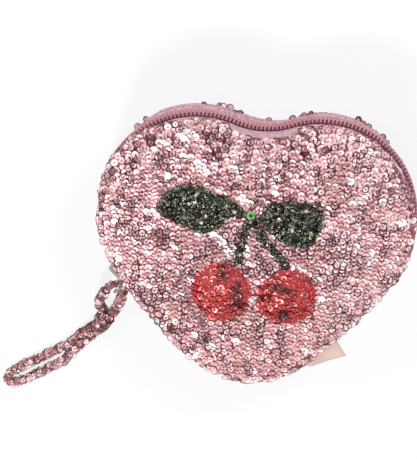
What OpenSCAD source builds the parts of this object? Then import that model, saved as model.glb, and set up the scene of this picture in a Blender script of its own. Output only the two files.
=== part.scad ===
// Heart shaped coin purse with a coil zip in its gusset and a corded ring pull.
// It lies on its back: +Z points out of the front face, +Y towards the notch of the heart.
// The origin is on the resting face, under the middle of the heart.

/* [Heart outline] */
// Radius of each lobe
lobe_r = 35.5; // [30:0.5:42]
// Distance between the centres of the lobes
lobe_spacing = 46.5; // [40:0.5:56]
// Height from the lobe centres down to the tip
tip_drop = 64; // [58:0.5:76]
// Radius of the blunt tip
tip_r = 28; // [20:0.5:31]
// Radius of the slow curve down each flank
side_r = 300; // [200:5:600]
// Radius of the shallow notch between the lobes
notch_r = 32; // [20:0.5:60]

/* [Faces] */
// Swell of each face above its seam
crown = 5; // [3.5:0.1:8]
// Depth by which the back is pressed flat where it lies
rest_press = 0.6; // [0.2:0.1:1.2]
// Thickness of the padded, sequined fabric
panel_t = 2; // [1:0.1:2.6]
// Thickness of the lining
lining_t = 0.4; // [0.2:0.1:0.8]
// Gap between a fabric and its lining
lining_gap = 0.2; // [0.1:0.05:0.4]
// Gap at a seam whose two sides can move apart
seam_gap = 0.3; // [0.2:0.05:0.6]
// Distance from the lobe centres down to the fold of the open front
fold_drop = 42.25; // [40:0.25:46]

/* [Gusset] */
// Width of the gusset, from the back seam to the front seam
gusset_w = 26; // [20:0.5:34]
// Thickness of the lower gusset
gusset_t = 1.2; // [0.6:0.1:1.8]

/* [Zip] */
// Length of tape that runs on behind the lower gusset at each end
zip_lap = 1.6; // [1:0.1:2.4]
// Gap between each end stop of the zip and the lower gusset
zip_spare = 0.6; // [0.3:0.05:1.5]
// Thickness of the zip tape
tape_t = 0.7; // [0.4:0.05:1]
// Gap between the two tapes behind the coil
tape_gap = 2.6; // [2.4:0.1:3.2]
// Distance from one tooth of a row to the next
tooth_pitch = 1.5; // [1.45:0.05:2]
// Thickness of a tooth along the zip
tooth_w = 0.62; // [0.4:0.02:0.64]
// Height of the coil above the tape
coil_h = 1.7; // [1.4:0.05:1.9]
// Wire of the coil
coil_wire = 0.6; // [0.4:0.05:0.65]
// Half of the width of the closed coil
coil_half = 2.9; // [2.6:0.05:3]
// How far each tooth reaches past the middle
tooth_reach = 0.75; // [0.5:0.05:0.9]
// Gap between tape and coil, and between the coil and its stops
coil_gap = 0.15; // [0.1:0.05:0.2]

/* [Slider] */
// Length of the slider
slider_len = 12; // [11:0.25:12.5]
// Width of the slider at its nose
nose_w = 9.6; // [9:0.1:11]
// Width of the slider at its tail
tail_w = 8; // [7.8:0.1:9]
// Thickness of each plate of the slider
plate_t = 0.9; // [0.6:0.05:1.2]
// Clearance over the coil inside the slider
slider_gap = 0.35; // [0.25:0.05:0.5]
// Clearance between the tape and the inner plate at the slider's middle
inner_gap = 0.95; // [0.9:0.05:1.2]
// Thickness of the slider's flanges
flange_t = 0.8; // [0.5:0.05:0.85]
// Width of the wedge that parts the coil
wedge_w = 1.8; // [1.2:0.1:1.9]
// Length of the wedge
wedge_len = 3.4; // [2.6:0.1:3.8]
// Length of the bridge over the slider
bridge_len = 8.4; // [8:0.1:9.5]
// Height of the window under the bridge
bridge_window = 2.4; // [2:0.1:3]
// Thickness of the bridge bar
bridge_t = 1.1; // [0.8:0.05:1.2]
// Width of the bridge bar
bridge_w = 1.3; // [1:0.05:1.4]

/* [Ring] */
// Radius of the ring to the middle of its wire
ring_r = 3.9; // [3.7:0.1:4.1]
// Thickness of the ring's wire
ring_wire = 0.9; // [0.7:0.05:1]
// Downward tilt of the ring as it lies
ring_tilt = 40; // [30:1:45]
// Place of the ring along the bridge, from its middle
ring_along = 3.2; // [2:0.1:3.3]
// Turn of the ring towards the tip, seen from above
ring_turn = 15; // [10:1:18]

/* [Strap] */
// Thickness of the corded strap
cord_d = 2.6; // [2:0.1:2.8]
// Radius of the binding at the neck of the strap
binding_r = 3.1; // [2.8:0.1:3.2]
// Length of the binding
binding_len = 3.4; // [2.6:0.1:3.6]

/* [Motif and label] */
// Radius of each cherry
cherry_r = 11.4; // [9:0.1:12]
// Distance between the centres of the cherries
cherry_spacing = 24.8; // [24.2:0.1:27]
// Height of a cherry over the fabric
cherry_rise = 1.4; // [0.8:0.1:2]
// Height of a leaf over the fabric
leaf_rise = 1; // [0.6:0.1:1.6]
// Length of the left leaf
left_leaf_len = 32.5; // [26:0.5:34]
// Width of the left leaf
left_leaf_w = 16.5; // [12:0.5:18]
// Length of the right leaf
right_leaf_len = 23; // [18:0.5:25]
// Width of the right leaf
right_leaf_w = 14.5; // [10:0.5:16]
// Thickness of a stem
stem_d = 1.8; // [1.2:0.1:2.4]
// Diameter of the large sequin where the stems meet
bead_d = 3.8; // [3:0.1:4.4]
// Thickness of the large sequin
bead_t = 0.5; // [0.3:0.1:0.8]
// Hole of the large sequin
bead_hole = 1; // [0.6:0.1:1.4]
// Length of the label along the seam
label_len = 14; // [10:0.5:16]
// How far the label stands out
label_out = 5.5; // [3:0.5:7]
// Thickness of the folded label
label_t = 1; // [0.8:0.1:1.4]
// Thickness of the label's cloth
label_cloth = 0.25; // [0.2:0.05:0.3]
// Distance of the label up the flank from the tip's curve
label_up = 10; // [8:0.5:16]

/* [Hidden] */
$fn = 32;

// Overrun of cuts
over = 1;

// Centres of the arcs of the right half of the heart
lobe_y = (tip_drop - lobe_r) / 2;
lobe_c = [lobe_spacing / 2, lobe_y];
tip_c = [0, lobe_y - tip_drop + tip_r];
notch_c = [0, lobe_y + sqrt(pow(lobe_r + notch_r, 2) - pow(lobe_spacing / 2, 2))];
lobe_to_tip = tip_c - lobe_c;
lobe_tip_dist = norm(lobe_to_tip);
lobe_tip_dir = lobe_to_tip / lobe_tip_dist;
lobe_leg = side_r - lobe_r;
tip_leg = side_r - tip_r;
side_foot = (pow(lobe_leg, 2) - pow(tip_leg, 2) + pow(lobe_tip_dist, 2)) / (2 * lobe_tip_dist);
side_height = sqrt(pow(lobe_leg, 2) - pow(side_foot, 2));
side_c = lobe_c + side_foot * lobe_tip_dir - side_height * [-lobe_tip_dir.y, lobe_tip_dir.x];

// Angles at which one arc passes into the next
notch_end = atan2(lobe_c.y - notch_c.y, lobe_c.x);
lobe_start = notch_end + 180;
lobe_end = atan2(lobe_c.y - side_c.y, lobe_c.x - side_c.x);
side_end = atan2(tip_c.y - side_c.y, tip_c.x - side_c.x);

// Steps of each arc
notch_steps = 3;
lobe_steps = 15;
side_steps = 5;
tip_steps = 6;
band_steps = 30;

// Half of the heart's width and height
half_w = lobe_spacing / 2 + lobe_r;
half_h = (tip_drop + lobe_r) / 2;

// Levels of the seams and of the zip
back_rim = crown - rest_press;
gusset_top = back_rim + gusset_w;
front_rim = gusset_top + seam_gap;
zip_z = back_rim + gusset_w / 2;
fold_y = lobe_y - fold_drop;

function reach(centre, r, a) = centre + r * [cos(a), sin(a)];
function arc(centre, r, a0, a1, steps) =
    [for (i = [1:steps]) reach(centre, r, a0 + (a1 - a0) * i / steps)];
function mirrored(points) = [for (i = [len(points) - 1:-1:0]) [-points[i].x, points[i].y]];
function inner_points(points) = [for (i = [1:len(points) - 2]) points[i]];
function reversed(points) = [for (i = [len(points) - 1:-1:0]) points[i]];

// The right half of the heart from the notch to the tip, moved outwards by grow
function half_heart(grow) = concat(
    [reach(notch_c, notch_r - grow, -90)],
    arc(notch_c, notch_r - grow, -90, notch_end, notch_steps),
    arc(lobe_c, lobe_r + grow, lobe_start, lobe_end, lobe_steps),
    arc(side_c, side_r + grow, lobe_end, side_end, side_steps),
    arc(tip_c, tip_r + grow, side_end, -90, tip_steps));
function whole_heart(grow) =
    concat(half_heart(grow), mirrored(inner_points(half_heart(grow))));
heart = whole_heart(0);

// Distance from the origin to the heart's edge in the direction of an angle
function far_hit(centre, r, dir) =
    let (b = centre * dir) b + sqrt(b * b - centre * centre + r * r);
function near_hit(centre, r, dir) =
    let (b = centre * dir) b - sqrt(b * b - centre * centre + r * r);
function bearing(p) = atan2(p.y, p.x);
notch_bearing = bearing(reach(lobe_c, lobe_r, lobe_start));
lobe_bearing = bearing(reach(lobe_c, lobe_r, lobe_end));
side_bearing = bearing(reach(tip_c, tip_r, side_end));
function edge_distance(x, y) =
    let (a = atan2(y, abs(x)), dir = [cos(a), sin(a)])
    a > notch_bearing ? near_hit(notch_c, notch_r, dir)
    : a > lobe_bearing ? far_hit(lobe_c, lobe_r, dir)
    : a > side_bearing ? far_hit(side_c, side_r, dir)
    : far_hit(tip_c, tip_r, dir);

// Profile of the swell, from 0 at the seam to 1 in the middle
crown_power = 2.6;
ring_shares = [1, 0.985, 0.95, 0.89, 0.78, 0.6, 0.34];
lining_ring_shares = [1, 0.93, 0.78, 0.45];
function swell_share(share) = sqrt(max(0, 1 - pow(share, crown_power)));
function front_z(x, y) =
    front_rim + crown * swell_share(min(1, norm([x, y]) / edge_distance(x, y)));
mean_reach = (half_w + half_h) / 2;
function inset_share(depth) = 1 - depth / mean_reach;

// A swelling heart shaped shell over the plane z = 0, with its hollow below
module shell(depth, wall, press, shares) {
    n = len(heart);
    rings = len(shares);
    outer_share = inset_share(depth);
    inner_share = inset_share(depth + wall);
    outer_rise = crown - depth;
    inner_rise = crown - depth - wall;
    function skin(scale_share, rise) = concat(
        [for (share = shares, p = heart)
            [p.x * share * scale_share, p.y * share * scale_share,
             min(rise * swell_share(share), rise - press)]],
        [[0, 0, rise - press]]);
    points = concat(skin(outer_share, outer_rise), skin(inner_share, inner_rise));
    base = n * rings + 1;
    outside = [for (j = [0:rings - 2], i = [0:n - 1], half = [0, 1])
        let (a = j * n + i, b = j * n + (i + 1) % n, c = b + n, d = a + n)
        half == 0 ? [a, b, c] : [a, c, d]];
    outside_cap = [for (i = [0:n - 1]) [(rings - 1) * n + i, (rings - 1) * n + (i + 1) % n, rings * n]];
    skin_faces = concat(outside, outside_cap);
    inside = [for (f = skin_faces) [f[2] + base, f[1] + base, f[0] + base]];
    rim = [for (i = [0:n - 1], half = [0, 1])
        let (a = i, b = (i + 1) % n)
        half == 0 ? [a, a + base, b + base] : [a, b + base, b]];
    polyhedron(points = points, faces = concat(skin_faces, inside, rim), convexity = 6);
}

module front_shell(depth, wall, shares) {
    translate([0, 0, front_rim]) shell(depth, wall, 0, shares);
}

module back_shell(depth, wall, shares) {
    translate([0, 0, back_rim]) mirror([0, 0, 1]) shell(depth, wall, rest_press, shares);
}

// The part of the front above or below its fold
span = 2 * (lobe_spacing + lobe_r);
module above_fold() {
    intersection() {
        children();
        translate([-span, fold_y + seam_gap / 2, 0]) cube([2 * span, span, span]);
    }
}

module below_fold() {
    intersection() {
        children();
        translate([-span, fold_y - seam_gap / 2 - span, 0]) cube([2 * span, span, span]);
    }
}

module back_panel() {
    color("#d58f9b") back_shell(0, panel_t, ring_shares);
}

module back_lining() {
    color("#c9788a") back_shell(panel_t + lining_gap, lining_t, lining_ring_shares);
}

module front_panel_upper() {
    color("#dc98a4") above_fold() front_shell(0, panel_t, ring_shares);
}

module front_panel_lower() {
    color("#dc98a4") below_fold() front_shell(0, panel_t, ring_shares);
}

module front_lining_upper() {
    color("#c9788a") above_fold()
        front_shell(panel_t + lining_gap, lining_t, lining_ring_shares);
}

module front_lining_lower() {
    color("#c9788a") below_fold()
        front_shell(panel_t + lining_gap, lining_t, lining_ring_shares);
}

// The zip keeps to the circle of the lobe and so dives inside the flank. The lower
// gusset starts where the tape is deep enough to run on behind its lining.
degree = PI / 180;
dive_depth = gusset_t + lining_gap + lining_t + seam_gap;
dive_turn = acos((pow(side_r - dive_depth, 2) - pow(lobe_leg, 2) - pow(lobe_r, 2))
    / (2 * lobe_leg * lobe_r));
dive_angle = lobe_end - dive_turn;
dive_dir = [cos(dive_angle), sin(dive_angle)];
zip_end = dive_angle - zip_lap / lobe_r / degree;
function gusset_start(grow) =
    lobe_c + far_hit(side_c - lobe_c, side_r + grow, dive_dir) * dive_dir;
function gusset_line(grow) =
    let (start = gusset_start(grow))
    concat([start],
        arc(side_c, side_r + grow, bearing(start - side_c), side_end, side_steps),
        arc(tip_c, tip_r + grow, side_end, -90, tip_steps));
function round_tip(grow) =
    let (line = gusset_line(grow))
    concat(line, mirrored([for (i = [0:len(line) - 2]) line[i]]));

module gusset_band(outer, inner, low, high) {
    translate([0, 0, low]) linear_extrude(high - low)
        polygon(concat(round_tip(outer), reversed(round_tip(inner))));
}

module gusset_lower() {
    color("#d08895") gusset_band(0, -gusset_t, back_rim, gusset_top);
}

module gusset_lining() {
    color("#c9788a")
        gusset_band(-gusset_t - lining_gap, -gusset_t - lining_gap - lining_t, back_rim, gusset_top);
}

// The zip follows the notch and the two lobes
function zip_line(grow) =
    let (half = concat(
        [reach(notch_c, notch_r - grow, -90)],
        arc(notch_c, notch_r - grow, -90, notch_end, notch_steps + 1),
        arc(lobe_c, lobe_r + grow, lobe_start, zip_end, band_steps)))
    concat(mirrored([for (i = [1:len(half) - 1]) half[i]]), half);

module zip_band(outer, inner, low, high) {
    translate([0, 0, low]) linear_extrude(high - low)
        polygon(concat(zip_line(outer), reversed(zip_line(inner))));
}

module zip_tape_back() {
    color("#a96a80") zip_band(0, -tape_t, back_rim, zip_z - tape_gap / 2);
}

module zip_tape_front() {
    color("#a96a80") zip_band(0, -tape_t, zip_z + tape_gap / 2, front_rim);
}

// Place on the zip at a distance from the notch: x, y and the outward angle
coil_mid = coil_gap + coil_h / 2;
notch_run = (notch_r - coil_mid) * (notch_end + 90) * degree;
function zip_right(s) =
    s < notch_run
    ? let (a = -90 + s / (notch_r - coil_mid) / degree, p = reach(notch_c, notch_r, a))
        [p.x, p.y, a + 180]
    : let (a = lobe_start - (s - notch_run) / (lobe_r + coil_mid) / degree,
           p = reach(lobe_c, lobe_r, a))
        [p.x, p.y, a];
function zip_place(s) =
    s >= 0 ? zip_right(s) : let (p = zip_right(-s)) [-p.x, p.y, 180 - p[2]];
function lobe_run(a) = notch_run + (lobe_start - a) * degree * (lobe_r + coil_mid);

// Lays a child on the tape: its X along the zip, its Y to the front, its Z outwards
module on_zip(s) {
    p = zip_place(s);
    translate([p.x, p.y, zip_z]) rotate([90, 0, p[2] + 90]) children();
}

// One turn of the coil, seen along the zip as a flat loop with round ends
module loop_outline(low, high, bottom, top) {
    r = (top - bottom) / 2;
    translate([low + r, bottom]) square([high - low - 2 * r, top - bottom]);
    translate([low + r, bottom + r]) circle(r);
    translate([high - r, bottom + r]) circle(r);
}

module tooth(direction) {
    rotate([90, 0, 90]) linear_extrude(tooth_w, center = true)
        scale([direction, 1]) difference() {
            loop_outline(-tooth_reach, coil_half, coil_gap, coil_gap + coil_h);
            loop_outline(-tooth_reach + coil_wire, coil_half - coil_wire,
                coil_gap + coil_wire, coil_gap + coil_h - coil_wire);
        }
}

// The rows end under the slider's middle at the left and at the stop at the right
stop_len = 2;
stop_w = 1.9;
top_stop_at = stop_len / 2 + zip_spare - lobe_run(dive_angle);
coil_left = top_stop_at + stop_len / 2 + seam_gap + slider_len / 2;
coil_right = lobe_run(dive_angle) - zip_spare - stop_len - tooth_w;
tooth_first = ceil(coil_left / tooth_pitch);
tooth_last = floor(coil_right / tooth_pitch) - 1;

module zip_coil_back() {
    color("#b87e90") for (i = [tooth_first:tooth_last])
        on_zip(i * tooth_pitch) tooth(-1);
}

module zip_coil_front() {
    color("#b87e90") for (i = [tooth_first:tooth_last])
        on_zip((i + 0.5) * tooth_pitch) tooth(1);
}

// A stop is a short clip squeezed on the edge of the coil
module stop(low, high) {
    translate([-stop_len / 2, 0, 0]) rotate([90, 0, 90]) linear_extrude(stop_len)
        loop_outline(low, high, coil_gap, coil_gap + coil_h);
}

module zip_top_stop_back() {
    color("#b0aaa0") on_zip(top_stop_at) stop(-tape_gap / 2 - stop_w, -tape_gap / 2);
}

module zip_top_stop_front() {
    color("#b0aaa0") on_zip(top_stop_at) stop(tape_gap / 2, tape_gap / 2 + stop_w);
}

module zip_bottom_stop() {
    color("#b0aaa0") on_zip(coil_right + stop_len / 2 + tooth_w)
        stop(-coil_half, coil_half);
}

// Angle round the left lobe at which the slider stands, by its distance along the zip
slider_angle = 180 - lobe_start - (notch_run + coil_left) / (lobe_r + coil_mid) / degree;

// The slider, with X towards its nose, Y to the front face and Z away from the lobe centre
left_lobe = [-lobe_c.x, lobe_c.y];
module on_lobe() {
    translate([left_lobe.x, left_lobe.y, zip_z]) rotate([90, 0, slider_angle + 90])
        translate([0, 0, lobe_r]) children();
}

corner_r = 1.6;
corner_steps = 6;
nose_notch = 1.2;
function corner(x, y, a) =
    [for (i = [0:corner_steps]) reach([x, y], corner_r, a + 90 * i / corner_steps)];
tail_x = -slider_len / 2 + corner_r;
nose_x = slider_len / 2 - corner_r;
module slider_outline() {
    polygon(concat(
        [[slider_len / 2 - nose_notch, 0]],
        corner(nose_x, nose_w / 2 - corner_r, 0),
        corner(tail_x, tail_w / 2 - corner_r, 90),
        corner(tail_x, -tail_w / 2 + corner_r, 180),
        corner(nose_x, -nose_w / 2 + corner_r, 270)));
}

outer_plate = coil_gap + coil_h + slider_gap;
flange_foot = coil_gap + slider_gap / 2;
inner_plate = -tape_t - inner_gap;
module slider_body() {
    color("#b4aea4") on_lobe() {
        translate([0, 0, outer_plate]) linear_extrude(plate_t) slider_outline();
        translate([0, 0, inner_plate - plate_t]) linear_extrude(plate_t) slider_outline();
        wedge_nose = slider_len / 2 - nose_notch;
        translate([0, 0, inner_plate - plate_t / 2])
            linear_extrude(outer_plate - inner_plate + plate_t)
                polygon([
                    [wedge_nose - wedge_len, 0],
                    [wedge_nose - wedge_len / 2, wedge_w / 2],
                    [wedge_nose - plate_t / 2, wedge_w / 2],
                    [wedge_nose - plate_t / 2, -wedge_w / 2],
                    [wedge_nose - wedge_len / 2, -wedge_w / 2]]);
        for (side = [-1, 1])
            translate([0, 0, flange_foot]) linear_extrude(outer_plate - flange_foot + plate_t / 2)
                polygon([
                    [tail_x, side * tail_w / 2],
                    [nose_x, side * nose_w / 2],
                    [nose_x, side * (nose_w / 2 - flange_t)],
                    [tail_x, side * (tail_w / 2 - flange_t)]]);
    }
}

// The bridge springs from the tail, runs level and comes down on a broad foot near the nose
bridge_foot = outer_plate + plate_t;
bridge_rise = bridge_window + bridge_t;
bridge_slope = 1.2;
foot_w = 2.4;
module slider_bridge() {
    color("#bdb7ac") on_lobe() {
        translate([0, bridge_w / 2, bridge_foot]) rotate([90, 0, 0]) linear_extrude(bridge_w)
            polygon([
                [-bridge_len / 2 - bridge_t, 0],
                [-bridge_len / 2 - bridge_t + bridge_slope, bridge_rise],
                [bridge_len / 2, bridge_rise],
                [bridge_len / 2 + bridge_t, bridge_rise - bridge_slope],
                [bridge_len / 2 + bridge_t, 0],
                [bridge_len / 2, 0],
                [bridge_len / 2, bridge_window],
                [-bridge_len / 2 + bridge_slope, bridge_window],
                [-bridge_len / 2, 0]]);
        translate([bridge_len / 2, foot_w / 2, bridge_foot]) rotate([90, 0, 0])
            linear_extrude(foot_w) square([bridge_t, bridge_window / 2]);
    }
}

// The ring hangs round the bridge bar and leans down to the ground
bar_height = bridge_foot + bridge_window + bridge_t / 2;
bar_play = 0.05;
bar_clear = norm([bridge_t / 2, bridge_w / 2]) + bar_play;
ring_hang = ring_r - ring_wire / 2 - bar_clear;
module jump_ring() {
    color("#c4beb2") on_lobe() translate([ring_along, 0, bar_height])
        rotate([ring_tilt, 0, 0]) rotate([0, ring_turn, 0]) translate([0, 0, ring_hang])
            rotate([0, 90, 0]) rotate_extrude() translate([ring_r, 0]) circle(ring_wire / 2);
}

// Routes of the cord, chosen by hand. The eye goes through the ring
EYE_ROUTE = [
    [-55.5, -37.3, 3.3], [-54.9, -36, 3.3], [-53.2, -34.2, 4.6], [-51.2, -31.8, 7],
    [-49.8, -29, 9.4], [-49.2, -26, 11.6], [-49.8, -22.7, 13.6], [-50.2, -21.2, 14.4],
    [-51.6, -20.2, 14.8], [-53.2, -20.2, 14.4], [-54.4, -21, 13.6], [-56.6, -23.6, 11.8],
    [-58.6, -26.6, 9.6], [-59.6, -29.8, 7], [-59.2, -32.8, 4.6], [-58.3, -33.9, 3.8],
    [-57.6, -35, 3.3], [-58.1, -36.1, 3.3]];
// The doubled cord lies on the ground, with both its ends in the binding
CORD_ROUTE = [
    [-59.7, -39.5, 3.3], [-60.3, -40.8, 3.3], [-62.4, -43.6, 2], [-66, -47, 1.4],
    [-71, -50.2, 1.4], [-76, -53.2, 1.4], [-81, -56.2, 1.4], [-86, -59, 1.4], [-91, -61.9, 1.4],
    [-94.6, -64.3, 1.4], [-96.4, -66.4, 1.4], [-95.6, -68.6, 1.4], [-92.6, -68.7, 1.4],
    [-88, -66.5, 1.4], [-83, -63.8, 1.4], [-78, -60.7, 1.4], [-73, -57.3, 1.4],
    [-68, -53, 1.4], [-63.5, -48.8, 1.4], [-60, -44.8, 2], [-57.7, -42, 3.3], [-57.1, -40.7, 3.3]];
BINDING_PLACE = [-57.6, -38.4, 3.3];
BINDING_TURN = 245;

function unit(v) = v / norm(v);
function heading(route, i) =
    unit(route[min(i + 1, len(route) - 1)] - route[max(i - 1, 0)]);
cord_sides = 8;
stem_sides = 6;
module tube(route, r, sides) {
    rings = len(route);
    points = [for (i = [0:rings - 1])
        let (t = heading(route, i), across = unit(cross(t, [0, 0, 1])), up = cross(across, t))
        for (k = [0:sides - 1])
            let (a = 360 * k / sides + 180 / sides)
            route[i] + r * cos(a) * across + r * sin(a) * up];
    walls = [for (i = [0:rings - 2], k = [0:sides - 1], half = [0, 1])
        let (a = i * sides + k, b = i * sides + (k + 1) % sides, c = b + sides, d = a + sides)
        half == 0 ? [a, b, c] : [a, c, d]];
    first = [for (k = [1:sides - 2]) [0, k + 1, k]];
    last_ring = (rings - 1) * sides;
    last = [for (k = [1:sides - 2]) [last_ring, last_ring + k, last_ring + k + 1]];
    polyhedron(points = points, faces = concat(walls, first, last), convexity = 8);
}

module strap_eye() {
    color("#c27f8c") tube(EYE_ROUTE, cord_d / 2, cord_sides);
}

module strap_binding() {
    color("#b06a7c") translate(BINDING_PLACE) rotate([0, 90, BINDING_TURN])
        cylinder(h = binding_len, r = binding_r, center = true);
}

module strap_cord() {
    color("#c27f8c") tube(CORD_ROUTE, cord_d / 2, cord_sides);
}

// A raised patch of the front: an outline, filled towards a middle, that follows the swell
patch_shares = [1, 0.86, 0.6, 0.3];
patch_lift = 0.1;
edge_share = 0.3;
module patch(outline, middle, rise) {
    n = len(outline);
    rings = len(patch_shares);
    function skin(raised) = concat(
        [for (share = patch_shares, p = outline)
            let (q = middle + share * (p - middle))
            [q.x, q.y, front_z(q.x, q.y) + patch_lift
                + (raised ? rise * (edge_share + (1 - edge_share) * swell_share(share)) : 0)]],
        [[middle.x, middle.y, front_z(middle.x, middle.y) + patch_lift + (raised ? rise : 0)]]);
    base = n * rings + 1;
    outside = [for (j = [0:rings - 2], i = [0:n - 1], half = [0, 1])
        let (a = j * n + i, b = j * n + (i + 1) % n, c = b + n, d = a + n)
        half == 0 ? [a, b, c] : [a, c, d]];
    cap = [for (i = [0:n - 1]) [(rings - 1) * n + i, (rings - 1) * n + (i + 1) % n, rings * n]];
    skin_faces = concat(outside, cap);
    under = [for (f = skin_faces) [f[2] + base, f[1] + base, f[0] + base]];
    edge = [for (i = [0:n - 1], half = [0, 1])
        let (a = i, b = (i + 1) % n)
        half == 0 ? [a, a + base, b + base] : [a, b + base, b]];
    polyhedron(points = concat(skin(true), skin(false)), faces = concat(skin_faces, under, edge),
        convexity = 4);
}

cherry_steps = 22;
module cherry(middle) {
    outline = [for (i = [0:cherry_steps - 1]) reach(middle, cherry_r, -360 * i / cherry_steps)];
    color("#c62a33") patch(outline, middle, cherry_rise);
}

// Places on the front, as shares of the heart's half width and of its height to the tip
cherry_y_share = -0.274;
cherry_x_share = 0.004;
bead_shares = [-0.044, 0.35];
left_stem_shares = [[-0.05, 0.29], [-0.062, 0.2], [-0.08, 0.1], [-0.09, 0.03], [-0.094, -0.03]];
right_stem_shares = [[-0.01, 0.3], [0.03, 0.24], [0.088, 0.165], [0.15, 0.07], [0.21, -0.02]];
left_base_shares = [-0.09, 0.36];
right_base_shares = [0.02, 0.37];
left_leaf_turn = 180;
right_leaf_turn = -9;
function on_front(shares) = [half_w * shares.x, half_h * shares.y];

cherry_middle_x = half_w * cherry_x_share;
cherry_y = half_h * cherry_y_share;

module cherry_left() {
    cherry([cherry_middle_x - cherry_spacing / 2, cherry_y]);
}

module cherry_right() {
    cherry([cherry_middle_x + cherry_spacing / 2, cherry_y]);
}

// A leaf is widest past its middle and comes to a point
leaf_steps = 10;
leaf_bias = 1.4;
function leaf_half(share) = sin(180 * pow(share, leaf_bias));
function leaf_side(length, width, side) =
    [for (i = [0:leaf_steps - 1])
        let (share = side > 0 ? i / leaf_steps : 1 - i / leaf_steps)
        [length * share, side * width / 2 * leaf_half(share)]];
function turned(p, a) = [p.x * cos(a) - p.y * sin(a), p.x * sin(a) + p.y * cos(a)];
module leaf(base, length, width, turn) {
    outline = [for (p = concat(leaf_side(length, width, 1), leaf_side(length, width, -1)))
        base + turned(p, turn)];
    color("#2d4a36") patch(outline, base + turned([length / 2, 0], turn), leaf_rise);
}

module leaf_left() {
    leaf(on_front(left_base_shares), left_leaf_len, left_leaf_w, left_leaf_turn);
}

module leaf_right() {
    leaf(on_front(right_base_shares), right_leaf_len, right_leaf_w, right_leaf_turn);
}

function over_front(share_list, r) = [for (shares = share_list)
    let (p = on_front(shares)) [p.x, p.y, front_z(p.x, p.y) + r + patch_lift]];

module stem_left() {
    color("#33503c") tube(over_front(left_stem_shares, stem_d / 2), stem_d / 2, stem_sides);
}

module stem_right() {
    color("#33503c") tube(over_front(right_stem_shares, stem_d / 2), stem_d / 2, stem_sides);
}

module stem_sequin() {
    p = on_front(bead_shares);
    color("#8fc49b") translate([p.x, p.y, front_z(p.x, p.y) + patch_lift])
        difference() {
            cylinder(h = bead_t, d = bead_d);
            translate([0, 0, -over]) cylinder(h = bead_t + 2 * over, d = bead_hole);
        }
}

// The label is a folded strip of cloth sewn into the front seam
label_angle = side_end + label_up / side_r / degree;
module care_label() {
    p = reach(side_c, side_r, label_angle);
    color("#ecdfd0") translate([p.x, p.y, gusset_top - label_t])
        rotate([90, 0, label_angle]) linear_extrude(label_len, center = true)
            difference() {
                loop_outline(coil_gap, label_out, 0, label_t);
                loop_outline(coil_gap - label_t, label_out - label_cloth, label_cloth,
                    label_t - label_cloth);
            }
}

back_panel();
back_lining();
gusset_lower();
gusset_lining();
front_panel_lower();
front_lining_lower();
front_panel_upper();
front_lining_upper();
zip_tape_back();
zip_tape_front();
zip_coil_back();
zip_coil_front();
zip_top_stop_back();
zip_top_stop_front();
zip_bottom_stop();
slider_body();
slider_bridge();
jump_ring();
strap_eye();
strap_binding();
strap_cord();
leaf_left();
leaf_right();
stem_left();
stem_right();
stem_sequin();
cherry_left();
cherry_right();
care_label();
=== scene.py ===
import itertools
import math

import bpy
import numpy as np
from mathutils import Matrix, Vector, noise
from mathutils.kdtree import KDTree


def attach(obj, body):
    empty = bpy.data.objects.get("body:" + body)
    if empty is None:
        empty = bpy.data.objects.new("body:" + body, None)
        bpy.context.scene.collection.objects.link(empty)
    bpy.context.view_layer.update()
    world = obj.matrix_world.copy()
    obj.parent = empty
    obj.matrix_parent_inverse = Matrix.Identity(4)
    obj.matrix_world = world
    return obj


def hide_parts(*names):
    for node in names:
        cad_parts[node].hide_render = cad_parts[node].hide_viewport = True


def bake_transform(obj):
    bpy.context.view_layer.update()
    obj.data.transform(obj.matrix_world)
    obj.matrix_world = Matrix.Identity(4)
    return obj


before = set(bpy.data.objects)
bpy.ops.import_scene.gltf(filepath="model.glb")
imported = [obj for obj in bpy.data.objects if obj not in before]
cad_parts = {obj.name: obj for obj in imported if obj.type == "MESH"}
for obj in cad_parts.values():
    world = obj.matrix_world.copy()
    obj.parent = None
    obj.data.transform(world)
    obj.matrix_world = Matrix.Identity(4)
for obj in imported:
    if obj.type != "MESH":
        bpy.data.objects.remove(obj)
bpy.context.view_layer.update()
MM = 0.001
STRAIGHT_UP = np.array([0.0, 0.0, 1.0])
rng = np.random.default_rng(7)
scene = bpy.context.scene
scene.view_settings.view_transform = "Standard"

# Camera, fitted to the photograph
SENSOR, LENS = 36, 142.03
CAMERA_AT = (-0.009395, 0.204432, 0.679294)
CAMERA_LOOK = (-0.01273, -0.28812, -0.95751)
CAMERA_UP = (-0.06097, 0.95603, -0.28687)
cam_data = bpy.data.cameras.new("camera")
cam_data.sensor_width = SENSOR
cam_data.lens = LENS
cam = bpy.data.objects.new("camera", cam_data)
scene.collection.objects.link(cam)
view_dir = Vector(CAMERA_LOOK).normalized()
view_right = view_dir.cross(Vector(CAMERA_UP).normalized()).normalized()
view_up = view_right.cross(view_dir)
turned = Matrix((view_right, view_up, -view_dir)).transposed().to_4x4()
cam.matrix_world = Matrix.Translation(CAMERA_AT) @ turned
scene.camera = cam

# The heart, in millimetres and degrees, as part.scad draws it
LOBE_R, LOBE_X, LOBE_Y = 35.5, 23.25, 14.25
TIP_R, TIP_Y = 28.0, -21.75
SIDE_R, NOTCH_R = 300.0, 32.0
HALF_W, HALF_H = LOBE_X + LOBE_R, LOBE_Y + LOBE_R
CROWN, PRESS = 5.0, 0.6  # how far the faces swell, and how much of it the table presses flat
BACK_RIM, FRONT_RIM, GUSSET_TOP = 4.4, 30.7, 30.4
FACE_THICK, LINING_GAP, LINING_THICK = 1.9, 2.2, 0.4
ZIP_Z, ZIP_END = 17.4, 62.04
DIVE, DIVE_REACH = 59.46, 36.3  # where the zip dives behind the flank, from the lobe's centre
NOTCH_Y = LOBE_Y + math.sqrt((LOBE_R + NOTCH_R) ** 2 - LOBE_X ** 2)
LOBE_C, TIP_C = np.array([LOBE_X, LOBE_Y]), np.array([0, TIP_Y])


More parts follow.
